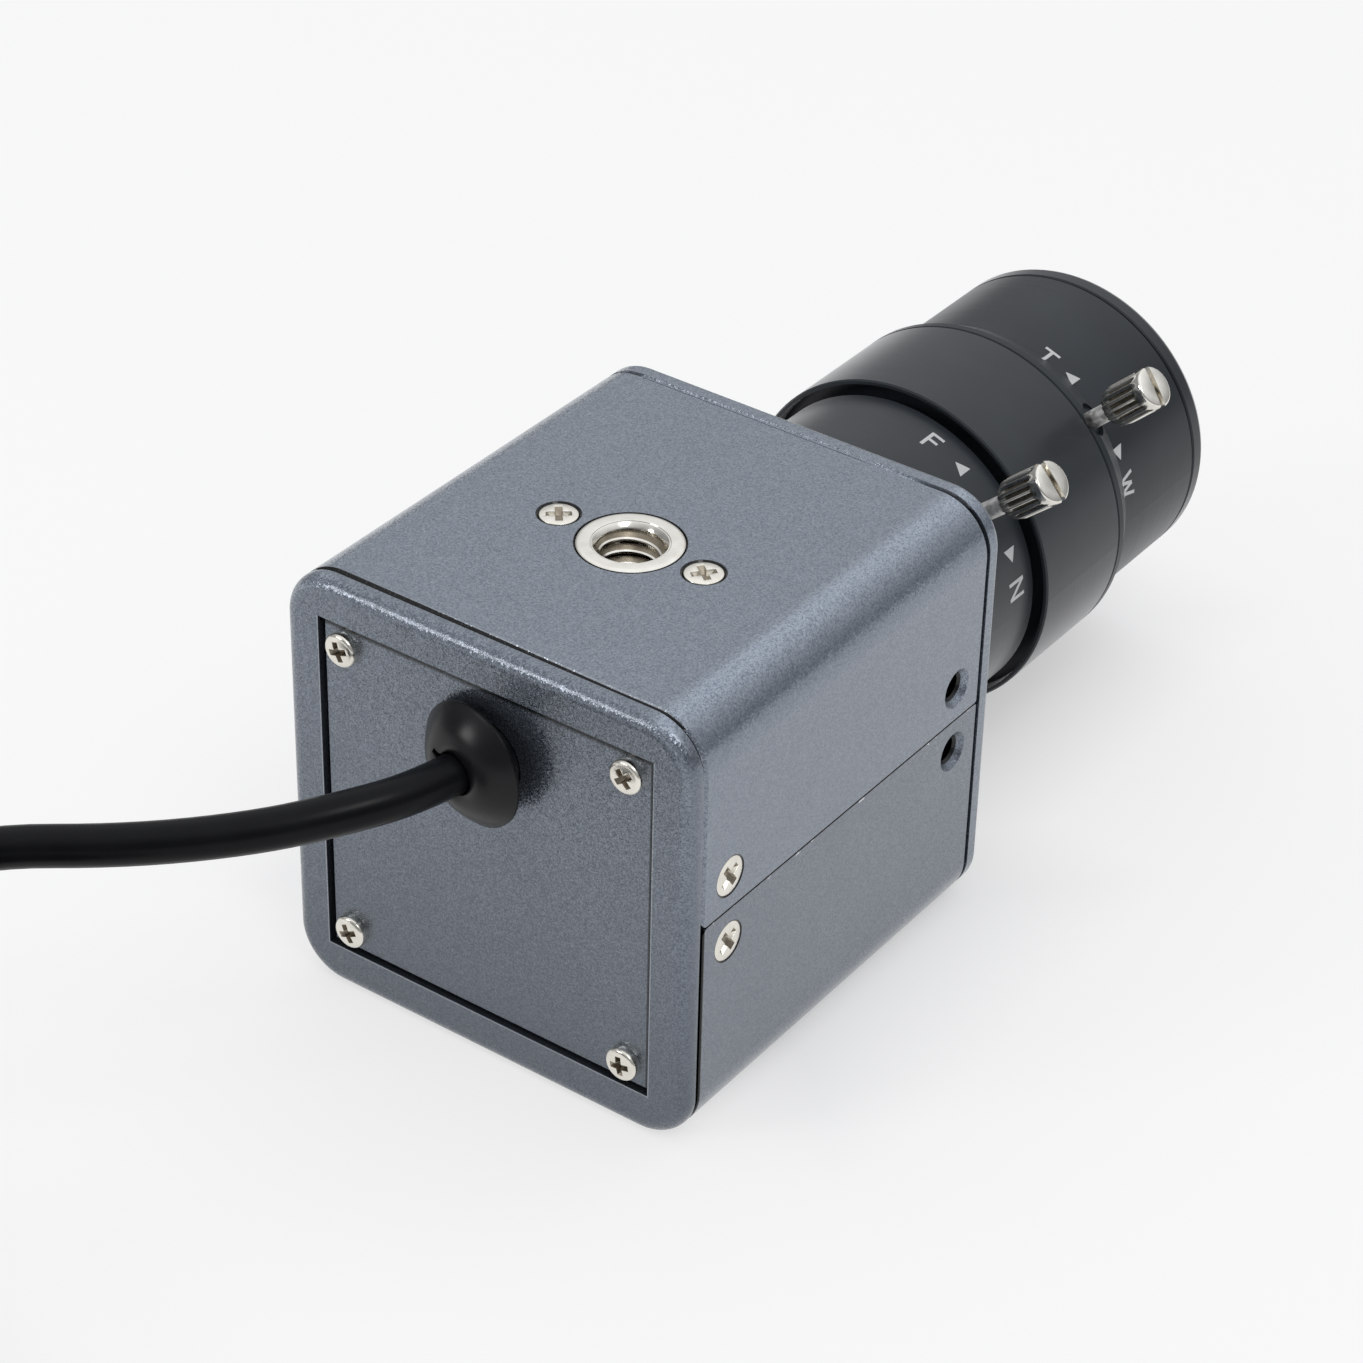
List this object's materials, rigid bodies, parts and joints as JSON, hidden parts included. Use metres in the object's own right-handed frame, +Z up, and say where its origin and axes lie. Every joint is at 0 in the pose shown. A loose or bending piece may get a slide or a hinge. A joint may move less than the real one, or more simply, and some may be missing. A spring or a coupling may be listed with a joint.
{
  "type": "camera module",
  "caption": "Small metal box camera with a varifocal lens whose focus and zoom rings turn and lock with thumb screws, a tripod thread and a rear cable with its plug.",
  "frame": {"origin": "centre of the box's bottom face, on the surface that it stands on", "axes": "+Y along the lens axis towards the front glass, +Z up through the tripod thread, +X to the right seen from behind"},
  "size_m": [0.0731, 0.2065, 0.0431],
  "materials": {
    "body_paint": "fine metallic grey, satin",
    "bright_screws": "bright nickel",
    "nickel": "bright nickel",
    "black_rubber": "matt black",
    "cable_black": "matt black with a soft sheen",
    "tie_black": "matt black",
    "mount_metal": "satin",
    "lens_black": "satin black anodised",
    "lens_glass": "coated glass",
    "filter_glass": "coated glass",
    "pin_steel": "plain",
    "board_green": "solder resist",
    "chip_black": "moulded",
    "crystal_can": "plain",
    "socket_white": "moulded",
    "wire_jacket": "moulded",
    "plug_black": "moulded",
    "plug_steel": "bright",
    "contact_gold": "plated"
  },
  "bodies": {
    "camera": {"upper_cover": "body_paint", "lower_cover": "body_paint", "rear_frame": "body_paint", "front_frame": "body_paint", "rear_panel": "body_paint", "rear_panel_screws": "bright_screws", "cover_screws": "bright_screws", "tripod_nut_screws": "bright_screws", "board_screws": "bright_screws", "tripod_nut": "nickel", "cable_grommet": "black_rubber", "cable_lead": "cable_black", "cable_coil": "cable_black", "cable_tail": "cable_black", "cable_inner": "cable_black", "strain_tie": "tie_black", "cable_tie": "tie_black", "lens_mount": "mount_metal", "lens_base": "lens_black", "main_barrel": "lens_black", "front_ring": "lens_black", "aperture_stop": "lens_black", "sensor_glass": "lens_glass", "ir_filter": "filter_glass", "sensor_board": "board_green", "image_sensor": "chip_black", "processor_chip": "chip_black", "memory_chip": "chip_black", "crystal": "crystal_can", "cable_socket": "socket_white", "socket_plug": "socket_white", "usb_tongue": "socket_white", "inner_wires": "wire_jacket", "usb_grip": "plug_black", "usb_shell": "plug_steel", "usb_contacts": "contact_gold"},
    "focus_ring": {"focus_ring": "lens_black"},
    "focus_lock": {"focus_lock_screw": "nickel"},
    "zoom_ring": {"zoom_ring": "lens_black"},
    "zoom_lock": {"zoom_lock_screw": "nickel"},
    "rear_group": {"rear_cell": "lens_black", "rear_element": "lens_glass", "rear_pin": "pin_steel"},
    "front_group": {"front_cell": "lens_black", "front_element": "lens_glass", "front_retainer": "lens_black", "front_pin": "pin_steel"}
  },
  "joints": [
    {"name": "focus_turn", "type": "hinge", "parent": "camera", "child": "focus_ring", "pos_m": [0, 0.0335, 0.0215], "axis": [0, 1, 0], "range_deg": [-40, 40]},
    {"name": "zoom_turn", "type": "hinge", "parent": "camera", "child": "zoom_ring", "pos_m": [0, 0.0617, 0.0215], "axis": [0, 1, 0], "range_deg": [-35, 35]},
    {"name": "focus_lock_turn", "type": "hinge", "parent": "focus_ring", "child": "focus_lock", "pos_m": [0.01519, 0.0356, 0.03452], "axis": [0.7593, 0, 0.6508], "range_deg": [-270, 90]},
    {"name": "zoom_lock_turn", "type": "hinge", "parent": "zoom_ring", "child": "zoom_lock", "pos_m": [0.01463, 0.0554, 0.03514], "axis": [0.7314, 0, 0.682], "range_deg": [-270, 90]},
    {"name": "rear_slide", "type": "slide", "parent": "camera", "child": "rear_group", "axis": [0, 1, 0], "range_m": [-0.002, 0.002]},
    {"name": "front_slide", "type": "slide", "parent": "camera", "child": "front_group", "axis": [0, 1, 0], "range_m": [-0.0015, 0.0015]}
  ],
  "couplings": [
    {"joint": "rear_slide", "follows": "focus_turn", "m_per_rad": 0.00286},
    {"joint": "front_slide", "follows": "zoom_turn", "m_per_rad": 0.00245}
  ]
}
